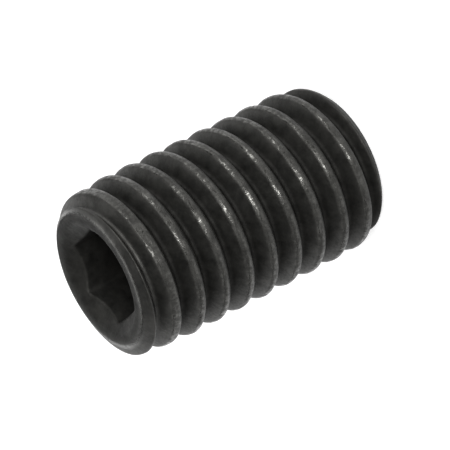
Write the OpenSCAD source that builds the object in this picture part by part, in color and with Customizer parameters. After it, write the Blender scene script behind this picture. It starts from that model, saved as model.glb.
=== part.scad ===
// Grub set screw: a headless screw, threaded over its whole length, driven by a hexagon
// socket in one end and pressing with the flat point at the other. One solid piece.
// It stands on its point. The origin is the middle of the point face, +Z runs up the
// axis to the socket face, and +X runs through a corner of the hexagon. Right-hand thread.

/* [Body] */
// Length from the point face to the socket face
length = 10; // [7:0.5:20]
// Outside diameter of the thread
thread_d = 6; // [5.5:0.25:8]

/* [Thread] */
// Rise of the thread in one turn
pitch = 1; // [0.75:0.05:1.25]
// Width of the flat along the crest
crest_w = 0.24; // [0.1:0.01:0.26]
// Angle between the two flanks of the groove
flank_angle = 60; // [55:1:70]
// Radius along the bottom of the groove
root_r = 0.13; // [0.05:0.01:0.16]
// Angle round the axis at which the groove crosses the point face
groove_angle = 211; // [0:1:359]

/* [Socket end] */
// Diameter of the ring that is left flat round the socket
socket_face_d = 4.8; // [4.6:0.05:5]
// Height of the chamfer next to that ring
socket_chamfer_h = 0.2; // [0.1:0.01:0.3]
// How much lower the crest is than the full thread where the chamfer ends
socket_drop = 0.17; // [0.05:0.01:0.25]
// Length of the taper from the chamfer up to the full thread
socket_lead = 1.3; // [0.5:0.1:2]

/* [Point end] */
// Diameter of the flat point
point_face_d = 5.05; // [4:0.05:5.1]
// Height of the chamfer round the point
point_chamfer_h = 0.3; // [0.1:0.05:0.35]
// How much lower the crest is than the full thread where the chamfer ends
point_drop = 0.17; // [0.05:0.01:0.2]
// Length of the taper from the chamfer up to the full thread
point_lead = 0.7; // [0.3:0.1:2]

/* [Hexagon socket] */
// Width of the hexagon across its flats
hex_w = 3; // [2.5:0.1:3.2]
// Depth of the flats below the socket face
socket_depth = 3.5; // [2:0.1:4]
// Diameter of the countersink at the mouth
mouth_d = 4.1; // [3.6:0.05:4.5]
// Angle between opposite sides of the countersink
mouth_angle = 110; // [90:5:130]
// Diameter of the cone that ends the socket
drill_d = 2.3; // [1.5:0.1:2.4]
// Angle between opposite sides of that cone
drill_angle = 120; // [90:2:140]

/* [Hidden] */

// Steps in one turn of the groove, and steps round its bottom
turn_steps = 48;
root_steps = 2;
// Facets of the round surfaces
round_fn = 96;
// How far a cutting solid runs past the surface that it cuts
over = 0.04;

thread_r = thread_d / 2;
half_flank = flank_angle / 2;
// Radius of the blank where it is widest, which the solid that cuts the groove runs out of
blank_r = max(thread_r, socket_face_d / 2, point_face_d / 2);
// The groove is as wide at the crest as the crest leaves, and its flanks meet in its root
groove_w = pitch - crest_w;
groove_depth = groove_w / 2 / tan(half_flank) - root_r * (1 / sin(half_flank) - 1);
// The groove starts and ends half a turn past the two faces
groove_turns = length / pitch + 1;
groove_rings = ceil(groove_turns * turn_steps);

hex_corner_d = hex_w / cos(30);
mouth_slope = tan(mouth_angle / 2);
drill_slope = tan(drill_angle / 2);

// Section of the groove as [radius, height] points, from its lower edge to its upper one
function groove_section() =
    let (
        root_center = thread_r - groove_depth + root_r,
        edge_r = blank_r + over,
        edge_z = groove_w / 2 + (edge_r - thread_r) * tan(half_flank),
        arc = 90 - half_flank
    )
    concat(
        [[edge_r, -edge_z]],
        [for (i = [0:root_steps])
            let (a = -arc + 2 * arc * i / root_steps)
            [root_center - root_r * cos(a), root_r * sin(a)]],
        [[edge_r, edge_z]]
    );

// One point of the section, carried to a ring of the helix
function on_helix(point, ring) =
    let (
        turn = ring / turn_steps - 0.5,
        angle = groove_angle + 360 * turn
    )
    [point[0] * cos(angle), point[0] * sin(angle), point[1] + pitch * turn];

module thread_groove() {
    section = groove_section();
    count = len(section);
    points = [for (ring = [0:groove_rings]) for (p = section) on_helix(p, ring)];
    sides = [
        for (ring = [0:groove_rings - 1]) for (i = [0:count - 1])
            let (
                a = ring * count + i,
                b = ring * count + (i + 1) % count
            )
            each [[a, b + count, b], [a, a + count, b + count]]
    ];
    first_end = [for (i = [0:count - 1]) i];
    last_end = [for (i = [count - 1:-1:0]) groove_rings * count + i];
    polyhedron(points, concat(sides, [first_end, last_end]), convexity = 12);
}

// The turned blank: two flat faces, their chamfers and the tapers that lead up to the crest
module blank() {
    rotate_extrude($fn = round_fn)
        polygon([
            [0, 0],
            [point_face_d / 2, 0],
            [thread_r - point_drop, point_chamfer_h],
            [thread_r, point_chamfer_h + point_lead],
            [thread_r, length - socket_chamfer_h - socket_lead],
            [thread_r - socket_drop, length - socket_chamfer_h],
            [socket_face_d / 2, length],
            [0, length]
        ]);
}

// What the drive tool goes into: the flats, the countersunk mouth and the cone below
module hex_socket() {
    flats_z = length - socket_depth;
    translate([0, 0, flats_z])
        cylinder(d = hex_corner_d, h = socket_depth + over, $fn = 6);
    mouth_top = mouth_d / 2 + over * mouth_slope;
    translate([0, 0, length + over - mouth_top / mouth_slope])
        cylinder(r1 = 0, r2 = mouth_top, h = mouth_top / mouth_slope, $fn = round_fn);
    drill_top = drill_d / 2 + over * drill_slope;
    translate([0, 0, flats_z + over - drill_top / drill_slope])
        cylinder(r1 = 0, r2 = drill_top, h = drill_top / drill_slope, $fn = round_fn);
}

module set_screw() {
    color([0.12, 0.12, 0.11])
        difference() {
            blank();
            thread_groove();
            hex_socket();
        }
}

set_screw();
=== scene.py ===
# %% [markdown]
# # A grub set screw in black oxide
# The object is a headless screw, 6 mm across and 10 mm long. One piece of steel carries a
# thread over its whole length, a hexagon socket in the end that the key goes into, and a flat
# point at the other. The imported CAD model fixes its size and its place: it stands on its point.
# This lesson gives it the looks of the real one, which come from small things: crests that are
# rounded by the rolling dies, a rim that catches the light, and the uneven black of the finish.

import math

import bmesh
import bpy
from mathutils import Matrix, Vector, noise


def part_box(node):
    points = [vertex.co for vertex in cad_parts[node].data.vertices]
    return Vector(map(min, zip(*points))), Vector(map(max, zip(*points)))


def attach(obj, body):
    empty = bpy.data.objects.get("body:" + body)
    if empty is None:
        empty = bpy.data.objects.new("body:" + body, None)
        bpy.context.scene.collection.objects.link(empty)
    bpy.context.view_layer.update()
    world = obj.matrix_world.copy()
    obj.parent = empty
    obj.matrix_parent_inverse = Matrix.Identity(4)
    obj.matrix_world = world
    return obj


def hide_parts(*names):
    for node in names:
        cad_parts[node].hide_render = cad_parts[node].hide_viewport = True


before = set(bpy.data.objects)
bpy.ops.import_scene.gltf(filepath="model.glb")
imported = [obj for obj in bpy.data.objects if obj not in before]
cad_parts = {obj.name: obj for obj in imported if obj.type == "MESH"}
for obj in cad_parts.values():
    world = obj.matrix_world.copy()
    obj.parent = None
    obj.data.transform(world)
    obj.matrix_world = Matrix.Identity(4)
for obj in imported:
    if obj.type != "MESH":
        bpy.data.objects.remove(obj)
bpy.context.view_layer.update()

# %% [markdown]
# ## The sizes
# The mesh is made in millimetres, because bevels and merges work best on lengths near one, and
# it is scaled to metres at the end. The two overall sizes come from the frame. The others are
# those of the CAD model, written once here.

# %% Sizes in millimetres
MM = 0.001
screw_low, screw_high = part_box("set_screw")
length = round((screw_high.z - screw_low.z) / MM, 4)
thread_r = round((screw_high.x - screw_low.x) / 2 / MM, 3)
pitch = 1.0
half_flank = math.radians(30)
crest_w = 0.24
root_r = 0.13
groove_angle = 211.0

hex_w = 3.0
socket_depth = 3.5
mouth_r = 2.05
mouth_half = math.radians(55)
drill_r = 1.15
drill_half = math.radians(60)
print(f"length {length} mm, thread radius {thread_r} mm")

# %% [markdown]
# ## The two ends
# Each end of the blank has a flat face, a chamfer, and a taper over which the crest rises to the
# full thread. The same few numbers describe both, so they go into one small record per end.

# %% Ends of the blank
chamfer_blend = 0.11


class End:
    """One end of the blank: the face's radius, the chamfer's height, and the taper behind it."""

    def __init__(self, face_z, up, face_r, chamfer_h, drop, lead, rim_round):
        self.face_z = face_z
        self.up = up
        self.face_r = face_r
        self.chamfer_h = chamfer_h
        self.drop = drop
        self.lead = lead
        self.rim_round = rim_round
        self.slope = math.atan(chamfer_h / (thread_r - drop - face_r))

    def radius(self, gap):
        """Radius of the blank at that distance from the face."""
        chamfer = self.face_r + gap / math.tan(self.slope)
        taper = thread_r - self.drop + (gap - self.chamfer_h) * self.drop / self.lead
        return smooth_min(chamfer, taper, chamfer_blend)

    def rim_depth(self):
        """Distance from the face at which the rounding of the rim begins."""
        return self.rim_round * (1 - math.cos(self.slope))


def smooth_min(a, b, blend):
    """The smaller of two values, rounded where they cross."""
    h = max(blend - abs(a - b), 0.0) / blend
    return min(a, b) - h * h * blend / 4


socket_end = End(length, 1, face_r=2.4, chamfer_h=0.2, drop=0.17, lead=1.3, rim_round=0.5)
point_end = End(0.0, -1, face_r=2.525, chamfer_h=0.3, drop=0.17, lead=0.7, rim_round=0.15)
for end in (socket_end, point_end):
    print(f"chamfer at {math.degrees(end.slope):.0f} degrees to the face")

# %% [markdown]
# ## The section of one turn
# A thread could be cut out of a cylinder with a Boolean, but the cut leaves razor edges and long
# thin faces. Here one turn of the section, from the middle of a crest to the middle of the next,
# is drawn with five points. A vertex bevel then rounds the crest and the root, as the dies do.

# %% Draw the section
crest_round = 0.2
root_segments = 7
crest_segments = 6
flank_cuts = 3
shortest_flank = 0.2


def section_of_one_turn(bm):
    """The line from crest to crest in the XZ plane, with its corners rounded."""
    groove_half = (pitch - crest_w) / 2
    sharp_depth = groove_half / math.tan(half_flank)
    corners = [
        (thread_r, -pitch / 2),
        (thread_r, -groove_half),
        (thread_r - sharp_depth, 0.0),
        (thread_r, groove_half),
        (thread_r, pitch / 2),
    ]
    verts = [bm.verts.new((r, 0.0, z)) for r, z in corners]
    for a, b in zip(verts, verts[1:]):
        bm.edges.new((a, b))
    round_corners(bm, [verts[2]], root_r / math.tan(half_flank), root_segments)
    round_corners(bm, [verts[1], verts[3]], crest_round * math.tan(half_flank), crest_segments)
    flanks = [e for e in bm.edges if e.calc_length() > shortest_flank]
    bmesh.ops.subdivide_edges(bm, edges=flanks, cuts=flank_cuts)
    print("points in the section:", len(bm.verts))


def round_corners(bm, verts, reach, segments):
    """Bevels corners of a line, starting at that distance from each one."""
    bmesh.ops.bevel(
        bm, geom=verts, offset=reach, segments=segments, profile=0.5, affect="VERTICES", material=-1
    )


# %% [markdown]
# ## The helix
# Spin with a shift for each step makes one turn of a helix out of the section. The other turns are
# copies of it, moved by the pitch, which is much quicker than spinning them all. Each turn ends
# where the next begins, so merging the doubles closes the thread into one skin. It starts and
# stops a turn past both ends, and what is too long is cut off later.

# %% Spin the section
turn_steps = 144
turns = int(length / pitch) + 3
merge_gap = 1e-4


def spin_thread(bm):
    """The skin of the whole thread, too long at both ends."""
    section_of_one_turn(bm)
    start = -pitch * (groove_angle / 360 + 1)
    bmesh.ops.translate(bm, verts=bm.verts[:], vec=(0, 0, start))
    bmesh.ops.spin(
        bm, geom=bm.verts[:] + bm.edges[:], cent=(0, 0, 0), axis=(0, 0, 1),
        dvec=(0, 0, pitch / turn_steps), angle=2 * math.pi, steps=turn_steps, use_duplicate=False,
    )
    first_turn = bm.verts[:] + bm.edges[:] + bm.faces[:]
    for turn in range(1, turns):
        copy = bmesh.ops.duplicate(bm, geom=first_turn)["geom"]
        moved = [g for g in copy if isinstance(g, bmesh.types.BMVert)]
        bmesh.ops.translate(bm, verts=moved, vec=(0, 0, pitch * turn))
    bmesh.ops.remove_doubles(bm, verts=bm.verts[:], dist=merge_gap)
    print("turns of thread:", turns, "points:", len(bm.verts))


# %% [markdown]
# ## The ends of the thread
# The blank was chamfered before it was rolled, and the first turn at each end never fills out, so
# the crests shrink towards both faces. Each point of the skin is pulled in to the radius that the
# blank allows at its height. A smooth minimum does it, which leaves a soft edge and not a cut. The
# chamfers are low, so a few flat cuts first give them rows of points to bend at.

# %% Cut the skin to length and pull it in
on_plane = 1e-5
row_merge_gap = 2e-3
rim_gap = 1e-3
row_shares = (0.4, 0.65, 0.85, 1.0, 1.15, 1.4)
pull_blend = 0.1
pull_reach = 0.2


def cut(bm, z, up, remove):
    """Adds a row of points at that height, and takes away what is past it if remove is set."""
    made = bmesh.ops.bisect_plane(
        bm, geom=bm.verts[:] + bm.edges[:] + bm.faces[:], dist=on_plane,
        plane_co=(0, 0, z), plane_no=(0, 0, up), clear_outer=remove,
    )
    row = [g for g in made["geom_cut"] if isinstance(g, bmesh.types.BMVert)]
    bmesh.ops.remove_doubles(bm, verts=row, dist=row_merge_gap)


def trim_end(bm, end):
    """Cuts one end to length, and returns the open edges there."""
    rim_z = end.face_z - end.up * end.rim_depth()
    cut(bm, rim_z, end.up, True)
    for share in row_shares:
        cut(bm, end.face_z - end.up * end.chamfer_h * share, end.up, False)
    open_edges = [e for e in bm.edges if e.is_boundary]
    return [e for e in open_edges if all(abs(v.co.z - rim_z) < rim_gap for v in e.verts)]


def pull_in(bm):
    """Pulls the thread in to the radius of the blank."""
    for v in bm.verts:
        r = math.hypot(v.co.x, v.co.y)
        allowed = min(socket_end.radius(length - v.co.z), point_end.radius(v.co.z))
        if allowed < thread_r + pull_reach:
            k = smooth_min(r, allowed, pull_blend) / r
            v.co.x *= k
            v.co.y *= k


# %% [markdown]
# ## Small damage
# A screw that has been rolled, hardened and tumbled with thousands of others isn't perfect. Its
# crests have shallow dents, which break up the light along them. Noise moves the points of the
# crests inwards, never outwards, so the screw keeps its size.

# %% Dent the crests
dent_start_r = 2.72
dent_fade = 0.2
slow_scale, slow_depth = 0.9, 0.016
quick_scale, quick_depth = 3.1, 0.014
quick_shift = Vector((7, 3, 5))


def dent_crests(bm):
    """Moves the points of the crests inwards by two sizes of noise."""
    deepest = 0.0
    for v in bm.verts:
        r = math.hypot(v.co.x, v.co.y)
        height = min(max((r - dent_start_r) / dent_fade, 0.0), 1.0)
        if height > 0:
            slow = noise.noise(v.co * slow_scale)
            quick = noise.noise(v.co * quick_scale + quick_shift)
            depth = slow_depth * max(slow, 0.0) + quick_depth * max(quick, 0.0)
            deepest = max(deepest, height * depth)
            k = 1 - height * depth / r
            v.co.x *= k
            v.co.y *= k
    print(f"deepest dent: {deepest:.3f} mm")


# %% [markdown]
# ## Closing the ends
# From the open edge at each end the rim, the face and the socket are made ring by ring: each
# extrusion copies the last ring and puts it at the radius and height of the next point of the
# profile. The helix has a row of points at every 2.5 degrees, so the corners of the hexagon fall
# on a row.

# %% Rings
hub_r = 0.02
rim_steps = 6


def next_ring(bm, edges, place):
    """Extrudes a ring of edges and places each new point by place(angle, old radius)."""
    made = bmesh.ops.extrude_edge_only(bm, edges=edges)["geom"]
    for v in made:
        if isinstance(v, bmesh.types.BMVert):
            angle = math.atan2(v.co.y, v.co.x)
            r, z = place(angle, math.hypot(v.co.x, v.co.y))
            v.co = (r * math.cos(angle), r * math.sin(angle), z)
    return [e for e in made if isinstance(e, bmesh.types.BMEdge) and e.is_boundary]


def close_ring(bm, edges, height):
    """Draws the last ring together into a point on the axis."""
    last = next_ring(bm, edges, lambda angle, old: (hub_r, height))
    verts = list(dict.fromkeys(v for e in last for v in e.verts))
    bmesh.ops.pointmerge(bm, verts=verts, merge_co=(0, 0, height))


def add_rim(bm, edges, end):
    """The rounded edge between the chamfer and the face."""
    reach = end.rim_round * math.tan(end.slope / 2)
    for i in range(1, rim_steps + 1):
        turn = end.slope * (1 - i / rim_steps)
        r = end.face_r - reach + end.rim_round * math.sin(turn)
        z = end.face_z - end.up * end.rim_round * (1 - math.cos(turn))
        edges = next_ring(bm, edges, lambda angle, old: (min(r, old), z))
    return edges


# %% [markdown]
# ## The hexagon socket
# The key goes into a hexagon with a countersunk mouth. Where the cone of the mouth meets the flat
# walls it leaves six arches: the cone runs deeper where the wall is nearer to the axis. The rings
# make them without any cutting, because each point's depth on the cone follows from the distance
# of the wall at its angle. Every stretch of the profile is a function of the angle and of the
# share of the way along it, so one loop can lay the rings of all six stretches.

# %% The walls and the cone of the mouth
corner_short = 0.015
corner_blend = 0.05


def wall_radius(angle):
    """Distance from the axis to the wall, with a corner at angle 0 and all corners a little round."""
    from_flat = math.radians((math.degrees(angle) + 360) % 60 - 30)
    flat = hex_w / 2 / math.cos(from_flat)
    corner = hex_w / 2 / math.cos(math.radians(30)) - corner_short
    return smooth_min(flat, corner, corner_blend)


def cone_z(r):
    """Height of the cone of the mouth at that radius."""
    return length - (mouth_r - r) / math.tan(mouth_half)


def bend(start, corner, end, share):
    """A point on the round that replaces a corner between two points."""
    a, b, c = (1 - share) ** 2, 2 * share * (1 - share), share ** 2
    return tuple(a * s + b * k + c * e for s, k, e in zip(start, corner, end))


# %% The stretches of the socket's profile
mouth_round_in = 0.1
mouth_round_out = 0.22
arch_round = 0.07
floor_z = length - socket_depth
mouth_inner_r = mouth_r - mouth_round_in


def over_lip(angle, share):
    outer = (mouth_r + mouth_round_out, length)
    return bend(outer, (mouth_r, length), (mouth_inner_r, cone_z(mouth_inner_r)), share)


def down_cone(angle, share):
    """Share 0 is the arch here, and share 1 the lip."""
    r = wall_radius(angle) + arch_round
    r += (mouth_inner_r - r) * share
    return r, cone_z(r)


def over_arch(angle, share):
    wall = wall_radius(angle)
    above = (wall + arch_round, cone_z(wall + arch_round))
    below = (wall, cone_z(wall) - arch_round)
    return bend(above, (wall, cone_z(wall)), below, share)


def down_wall(angle, share):
    top = cone_z(wall_radius(angle)) - arch_round
    return wall_radius(angle), top + (floor_z + arch_round - top) * share


def round_floor_edge(angle, share):
    wall = wall_radius(angle)
    above, inside = (wall, floor_z + arch_round), (wall - arch_round, floor_z)
    return bend(above, (wall, floor_z), inside, share)


def down_drill_cone(angle, share):
    """Share 1 is the widest place of the cone, and share 0 its tip."""
    r = drill_r * share
    return r, floor_z - (drill_r - r) / math.tan(drill_half)


# %% Lay the rings
socket_profile = [
    (over_lip, [i / 5 for i in range(6)]),
    (down_cone, [0.7, 0.4, 0.15]),
    (over_arch, [i / 5 for i in range(6)]),
    (down_wall, [i / 8 for i in range(1, 9)]),
    (round_floor_edge, [i / 3 for i in range(1, 4)]),
    (down_drill_cone, [1.0, 0.96, 0.7, 0.4, 0.15]),
]
point_face_radii = (2.2, 1.6, 0.8)


def make_socket(bm, edges):
    """The whole socket, from the open edge of the rim to the tip of the drill's cone."""
    for stretch, shares in socket_profile:
        for share in shares:
            edges = next_ring(bm, edges, lambda angle, old: stretch(angle, share))
    close_ring(bm, edges, floor_z - drill_r / math.tan(drill_half))
    print("rings in the socket:", sum(len(shares) for _, shares in socket_profile))


def make_point(bm, edges):
    """The flat face of the point."""
    for r in point_face_radii:
        edges = next_ring(bm, edges, lambda angle, old: (min(r, old), 0.0))
    close_ring(bm, edges, 0.0)


# %% [markdown]
# ## The whole screw
# The real screw gets its socket first, and its thread is rolled afterwards. Here the thread comes
# first, because the rings of the socket grow from its open edge. The skin has to close, so the
# number of its open edges is printed, with its volume to hold against that of the CAD solid.

# %% Build the screw
def build_screw():
    bm = bmesh.new()
    spin_thread(bm)
    top = trim_end(bm, socket_end)
    bottom = trim_end(bm, point_end)
    pull_in(bm)
    dent_crests(bm)
    make_socket(bm, add_rim(bm, top, socket_end))
    make_point(bm, add_rim(bm, bottom, point_end))
    bmesh.ops.remove_doubles(bm, verts=bm.verts[:], dist=merge_gap)
    bmesh.ops.recalc_face_normals(bm, faces=bm.faces[:])
    open_edges = sum(1 for e in bm.edges if not e.is_manifold)
    print("open edges:", open_edges, "volume in mm3:", round(bm.calc_volume(), 2))
    bmesh.ops.scale(bm, verts=bm.verts[:], vec=(MM, MM, MM))
    mesh = bpy.data.meshes.new("screw_skin")
    bm.to_mesh(mesh)
    bm.free()
    mesh.shade_smooth()
    screw = bpy.data.objects.new("screw_skin", mesh)
    bpy.context.scene.collection.objects.link(screw)
    print("triangles:", sum(len(p.vertices) - 2 for p in mesh.polygons))
    return screw


screw = build_screw()
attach(screw, "root")
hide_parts("set_screw")

# %% [markdown]
# ## Black oxide
# The finish is a thin black conversion layer on steel, with a film of oil. One dark colour with
# one gloss would look like plastic, because the real finish is never even. Here the base colour
# stays nearly black, and two masks steer how much light each place gives back: where the finish
# is rubbed, and where shade is painted in as less shine in the groove and the socket. The masks
# follow from the place on the screw in millimetres, so nothing has to be unwrapped or drawn onto a
# texture.

# %% Node helpers
def node(tree, kind, **values):
    """Adds a shader node and sets its inputs and properties."""
    n = tree.nodes.new(kind)
    for key, value in values.items():
        key = key.replace("_", " ") if key[0].isupper() else key
        if key in n.inputs:
            n.inputs[key].default_value = value
        else:
            setattr(n, key, value)
    return n


def put(tree, value, socket):
    """Links the output of a node to an input, or gives the input a plain value."""
    if isinstance(value, bpy.types.NodeSocket):
        tree.links.new(value, socket)
    else:
        socket.default_value = value


def calc(tree, operation, *terms):
    """The result of a Math node. The terms are outputs of nodes or plain numbers."""
    n = node(tree, "ShaderNodeMath", operation=operation)
    for term, socket in zip(terms, n.inputs):
        put(tree, term, socket)
    return n.outputs["Value"]


def fade(tree, value, span, result=(0.0, 1.0)):
    """Goes from the first result to the second while the value goes from one end of the span to
    the other, and stays level outside it."""
    n = node(tree, "ShaderNodeMapRange", From_Min=span[0], From_Max=span[1])
    n.inputs["To Min"].default_value, n.inputs["To Max"].default_value = result
    put(tree, value, n.inputs["Value"])
    return n.outputs["Result"]


def pattern(tree, space, scale, detail, roughness):
    """Noise, mostly between 0.3 and 0.7. A scale of 1 makes spots as wide as a unit of the space."""
    n = node(tree, "ShaderNodeTexNoise", Scale=scale, Detail=detail, Roughness=roughness)
    put(tree, space, n.inputs["Vector"])
    return n.outputs["Fac"]


# %% [markdown]
# ## Where it is rubbed
# Screws rub against each other on their crests, and the key rubs the rim round the socket. The
# shape tells where both are: a crest lies far from the axis and, unlike the flanks, faces
# sideways, and the rim is the edge of the face. Only patches of the crests are rubbed smooth.

# %% Rubbed places
crest_radii = (2.82, 2.90)
crest_lean = 0.22
off_lean_span = (0.6, 0.3)
patch_span = (0.44, 0.60)
rim_heights = (length - 0.15, length - 0.05)
off_rim_span = (0.18, 0.04)
rim_wear = 0.75


def crest_mask(tree, radius):
    """1 on the crests. It leans a little to the side of them that faces the socket."""
    facing = node(tree, "ShaderNodeSeparateXYZ")
    put(tree, node(tree, "ShaderNodeNewGeometry").outputs["Normal"], facing.inputs["Vector"])
    off_lean = calc(tree, "ABSOLUTE", calc(tree, "SUBTRACT", facing.outputs["Z"], crest_lean))
    sideways = fade(tree, off_lean, off_lean_span)
    return calc(tree, "MULTIPLY", fade(tree, radius, crest_radii), sideways)


def rubbed_mask(tree, crest, spots, radius, height):
    """1 in patches on the crests, and rim_wear all along the rim."""
    on_crest = calc(tree, "MULTIPLY", crest, fade(tree, spots, patch_span))
    off_rim = calc(tree, "ABSOLUTE", calc(tree, "SUBTRACT", radius, socket_end.face_r))
    near_rim = fade(tree, off_rim, off_rim_span, (0.0, rim_wear))
    on_rim = calc(tree, "MULTIPLY", fade(tree, height, rim_heights), near_rim)
    return calc(tree, "MAXIMUM", on_crest, on_rim)


# %% [markdown]
# ## Where shade is painted
# The bottom of the groove and the inside of the socket get less shine and more roughness, which
# paints shade into these recesses. On the real screw the first groove under the socket is paler
# than the others, so the painted shade of the groove fades in below it.

# %% Painted shade in the groove and the socket
# Heights and radii where shade is painted into the groove and the socket.
painted_shade_heights = (length - 0.5, length - 1.2)
groove_radii = (2.90, 2.55)
socket_radii = (2.42, 2.1)
socket_painted_shade = 0.65


def painted_shade_mask(tree, radius, height):
    """Painted shade: 1 in the bottom of the groove, and socket_painted_shade inside the rim."""
    below_top = fade(tree, height, painted_shade_heights)
    in_groove = calc(tree, "MULTIPLY", below_top, fade(tree, radius, groove_radii))
    in_socket = fade(tree, radius, socket_radii, (0.0, socket_painted_shade))
    return calc(tree, "MAXIMUM", in_groove, in_socket)


# %% [markdown]
# ## Shine, gloss and relief
# Oil makes the clean finish shine, the painted shade takes the shine away in the groove and the
# socket, and rubbing brings out the steel.
# Roughness follows the same masks, with a fine grain. The relief of the skin is too fine for the
# mesh, so it is bump: a grain all over, and scuffs that run round the screw along its crests.

# %% Shine and roughness
noise_span = (0.3, 0.7)
# Shine without and with the painted shade of the groove and the socket.
shine_unshaded_to_painted_shade = (0.43, 0.16)
rubbed_shine = 0.27
shine_spread = (0.7, 1.3)
gloss_spread = (0.42, 0.56)
# Extra roughness where shade is painted in.
painted_shade_roughness = 0.15
rubbed_roughness = 0.2


def shine(tree, rubbed, painted_shade, mottle):
    """How strongly the surface reflects."""
    # Less shine where shade is painted into the groove and the socket.
    unrubbed = fade(tree, painted_shade, (0.0, 1.0), shine_unshaded_to_painted_shade)
    polish = calc(tree, "MULTIPLY_ADD", rubbed, rubbed_shine, unrubbed)
    return calc(tree, "MULTIPLY", polish, fade(tree, mottle, noise_span, shine_spread))


def roughness(tree, rubbed, painted_shade, grain):
    """How far the surface spreads what it reflects."""
    satin = fade(tree, grain, noise_span, gloss_spread)
    mix = node(tree, "ShaderNodeMix", data_type="FLOAT", B=rubbed_roughness)
    put(tree, rubbed, mix.inputs["Factor"])
    # More roughness where shade is painted in.
    put(tree, calc(tree, "MULTIPLY_ADD", painted_shade, painted_shade_roughness, satin), mix.inputs["A"])
    return mix.outputs["Result"]


# %% Relief
grain_share = 0.3
relief_strength = 0.5
relief_depth = 0.016
scuff_stretch = 0.3
scuff_depth = 0.04


def bumpy(tree, place, crest, grain, spots):
    """The normal of the surface with its grain and scuffs."""
    bump = node(tree, "ShaderNodeBump", Strength=relief_strength, Distance=relief_depth * MM)
    put(tree, calc(tree, "MULTIPLY_ADD", grain, grain_share, spots), bump.inputs["Height"])
    along = node(tree, "ShaderNodeMapping", Scale=(scuff_stretch / MM, scuff_stretch / MM, 1 / MM))
    put(tree, place, along.inputs["Vector"])
    scuffs = pattern(tree, along.outputs["Vector"], scale=5.0, detail=1.0, roughness=0.5)
    scuffed = node(tree, "ShaderNodeBump", Distance=scuff_depth * MM)
    put(tree, crest, scuffed.inputs["Strength"])
    put(tree, scuffs, scuffed.inputs["Height"])
    put(tree, bump.outputs["Normal"], scuffed.inputs["Normal"])
    return scuffed.outputs["Normal"]


# %% Colour and places
darkest = (0.002, 0.002, 0.0018, 1)
palest = (0.007, 0.0068, 0.0061, 1)
shade_span = (0.3, 0.75)
oil_tint = (1.0, 0.99, 0.93, 1)


def near_black(tree, mottle):
    """Two blacks, mixed by the mottle."""
    ramp = node(tree, "ShaderNodeValToRGB")
    for stop, position, color in zip(ramp.color_ramp.elements, shade_span, (darkest, palest)):
        stop.position = position
        stop.color = color
    put(tree, mottle, ramp.inputs["Fac"])
    return ramp.outputs["Color"]


def radius_and_height(tree, space):
    """Distance from the screw's axis, and height over its point."""
    flat = node(tree, "ShaderNodeVectorMath", operation="MULTIPLY")
    put(tree, space, flat.inputs[0])
    put(tree, (1, 1, 0), flat.inputs[1])
    across = node(tree, "ShaderNodeVectorMath", operation="LENGTH")
    put(tree, flat.outputs["Vector"], across.inputs[0])
    parts = node(tree, "ShaderNodeSeparateXYZ")
    put(tree, space, parts.inputs["Vector"])
    return across.outputs["Value"], parts.outputs["Z"]


# %% Material
def black_oxide():
    """The whole material: patterns first, then the masks, then what they steer."""
    mat = bpy.data.materials.new("black_oxide")
    mat.use_nodes = True
    tree = mat.node_tree
    bsdf = tree.nodes["Principled BSDF"]
    place = node(tree, "ShaderNodeTexCoord").outputs["Object"]
    to_mm = node(tree, "ShaderNodeMapping", Scale=(1 / MM, 1 / MM, 1 / MM))
    put(tree, place, to_mm.inputs["Vector"])
    space = to_mm.outputs["Vector"]

    mottle = pattern(tree, space, scale=2.6, detail=5.0, roughness=0.6)
    grain = pattern(tree, space, scale=14.0, detail=3.0, roughness=0.6)
    spots = pattern(tree, space, scale=6.5, detail=2.0, roughness=0.55)

    radius, height = radius_and_height(tree, space)
    crest = crest_mask(tree, radius)
    rubbed = rubbed_mask(tree, crest, spots, radius, height)
    # Painted shade: less shine and more roughness in the groove and the socket.
    painted_shade = painted_shade_mask(tree, radius, height)

    put(tree, near_black(tree, mottle), bsdf.inputs["Base Color"])
    put(tree, shine(tree, rubbed, painted_shade, mottle), bsdf.inputs["Specular IOR Level"])
    put(tree, oil_tint, bsdf.inputs["Specular Tint"])
    put(tree, roughness(tree, rubbed, painted_shade, grain), bsdf.inputs["Roughness"])
    put(tree, bumpy(tree, place, crest, grain, spots), bsdf.inputs["Normal"])
    print("nodes in the material:", len(tree.nodes))
    return mat


screw.data.materials.append(black_oxide())

# %% [markdown]
# ## The camera
# The photograph looks down on the socket from about 27 degrees above the horizon and is turned on
# its side, so the camera is rolled. It could be placed by eye, but its place was fitted to the
# outline in the photograph, and is given here in the screw's own frame.

# %% Camera
azimuth = 52.5
view_tilt = 63.15
roll = 116.6
distance = 100.5
pixels_per_mm = 29.75
photo_px = 450
centre_px = (219.62, 219.17)

target = Vector((0, 0, length * MM / 2))


def direction(turn, tilt):
    """Unit vector at that angle round the axis and that angle from the upright."""
    around, down = math.radians(turn), math.radians(tilt)
    across = math.sin(down)
    return Vector((across * math.cos(around), across * math.sin(around), math.cos(down)))


to_camera = direction(azimuth, view_tilt)
camera_data = bpy.data.cameras.new("camera")
camera = bpy.data.objects.new("camera", camera_data)
bpy.context.scene.collection.objects.link(camera)
camera.location = target + to_camera * distance * MM
camera.rotation_mode = "QUATERNION"
rolled = Matrix.Rotation(math.radians(-roll), 4, "Z").to_quaternion()
camera.rotation_quaternion = to_camera.to_track_quat("Z", "Y") @ rolled
camera_data.sensor_width = 36
camera_data.lens = camera_data.sensor_width * pixels_per_mm * distance / photo_px
camera_data.shift_x = (photo_px / 2 - centre_px[0]) / photo_px
camera_data.shift_y = (centre_px[1] - photo_px / 2) / photo_px
camera_data.clip_start = 0.005
camera_data.clip_end = 20
bpy.context.scene.camera = camera
print(f"camera {distance} mm away, lens {camera_data.lens:.0f} mm")

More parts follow.
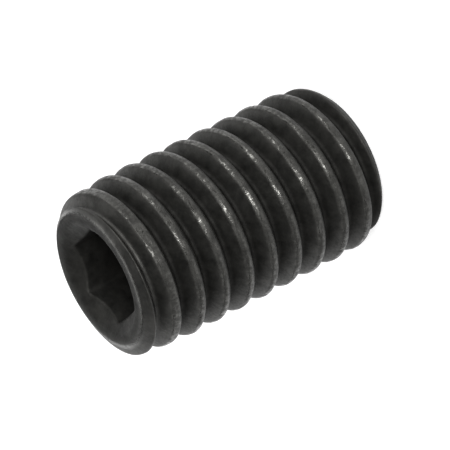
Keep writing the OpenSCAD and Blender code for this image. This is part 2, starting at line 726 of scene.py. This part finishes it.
# %% [markdown]
# ## Floor
# A pale floor gives the white ground. Its own colour is a light grey that takes the screw's
# shadow. What the camera and the reflections see of it is lifted to white.

# %% Floor
floor_r = 1.5
floor_grey = (0.6, 0.6, 0.6, 1)
floor_lift = 0.6
white = (1, 1, 1, 1)


def pale_floor():
    """Light grey for the light, and white for the camera, reflections and glass."""
    mat = bpy.data.materials.new("pale_floor")
    mat.use_nodes = True
    tree = mat.node_tree
    bsdf = tree.nodes["Principled BSDF"]
    ray = node(tree, "ShaderNodeLightPath").outputs
    seen = calc(tree, "MAXIMUM", ray["Is Camera Ray"], ray["Is Glossy Ray"])
    seen = calc(tree, "MAXIMUM", seen, ray["Is Transmission Ray"])
    put(tree, floor_grey, bsdf.inputs["Base Color"])
    put(tree, 0.9, bsdf.inputs["Roughness"])
    put(tree, 0.0, bsdf.inputs["Specular IOR Level"])
    put(tree, white, bsdf.inputs["Emission Color"])
    put(tree, calc(tree, "MULTIPLY", seen, floor_lift), bsdf.inputs["Emission Strength"])
    return mat


floor_mesh = bpy.data.meshes.new("floor")
bm = bmesh.new()
bmesh.ops.create_circle(bm, cap_ends=True, segments=64, radius=floor_r)
bm.to_mesh(floor_mesh)
bm.free()
floor = bpy.data.objects.new("floor", floor_mesh)
bpy.context.scene.collection.objects.link(floor)
floor.data.materials.append(pale_floor())

# %% [markdown]
# ## Light
# Small dark metal shows little but what it reflects, so the lamps are placed by what each part of
# the screw sees of the room. The crests and the rim see low, wide panels at the sides and behind.
# The flanks that face up see a few soft lamps with dark gaps between them, which leave them dim
# and shaded. Two upright strips make the two rows of glints along the crests. They are narrow, so
# they can be bright and still add little light. The world is a weak, even fill.

# %% World
fill_light = 0.08

world = bpy.data.worlds.new("fill")
world.use_nodes = True
world.node_tree.nodes["Background"].inputs["Color"].default_value = white
world.node_tree.nodes["Background"].inputs["Strength"].default_value = fill_light
bpy.context.scene.world = world


# %% Lamps
lamp_distance = 300


def soft_lamp(name, turn, height, wide, tall, radiance):
    """An oval lamp, placed and sized in degrees as the screw sees it; turn 0 is the camera's side."""
    place = target + direction(azimuth + turn, 90 - height) * lamp_distance * MM
    data = bpy.data.lights.new(name, "AREA")
    data.shape = "ELLIPSE"
    data.size = 2 * lamp_distance * MM * math.tan(math.radians(wide / 2))
    data.size_y = 2 * lamp_distance * MM * math.tan(math.radians(tall / 2))
    data.energy = radiance * math.pi * (math.pi / 4 * data.size * data.size_y)
    lamp = bpy.data.objects.new(name, data)
    bpy.context.scene.collection.objects.link(lamp)
    lamp.location = place
    lamp.rotation_mode = "QUATERNION"
    lamp.rotation_quaternion = (place - target).to_track_quat("Z", "Y")
    lamp.visible_camera = False


# Name, turn, height, width and tallness in degrees, and radiance
lamps = [
    ("low_window", 90, 9, 86, 20, 2.3),
    ("side", 44, 27, 52, 42, 0.65),
    ("other_side", -46, 24, 62, 44, 0.7),
    ("key", 122, 52, 45, 45, 1.25),
    ("back_high", 177, 48, 34, 22, 2.1),
    ("back_low", 158, 16, 24, 20, 2.8),
    ("far_side", 250, 32, 70, 44, 1.05),
    ("far_low", 204, 14, 40, 24, 1.8),
    ("front", 0, 7, 26, 20, 0.75),
    ("high_front", 0, 47, 80, 26, 0.42),
    ("glint", 2, 26, 8, 50, 31.0),
    ("second_glint", 54, 26, 9, 44, 12.5),
]
for lamp in lamps:
    soft_lamp(*lamp)
bpy.context.scene.view_settings.view_transform = "Standard"
print("lamps:", len(lamps))
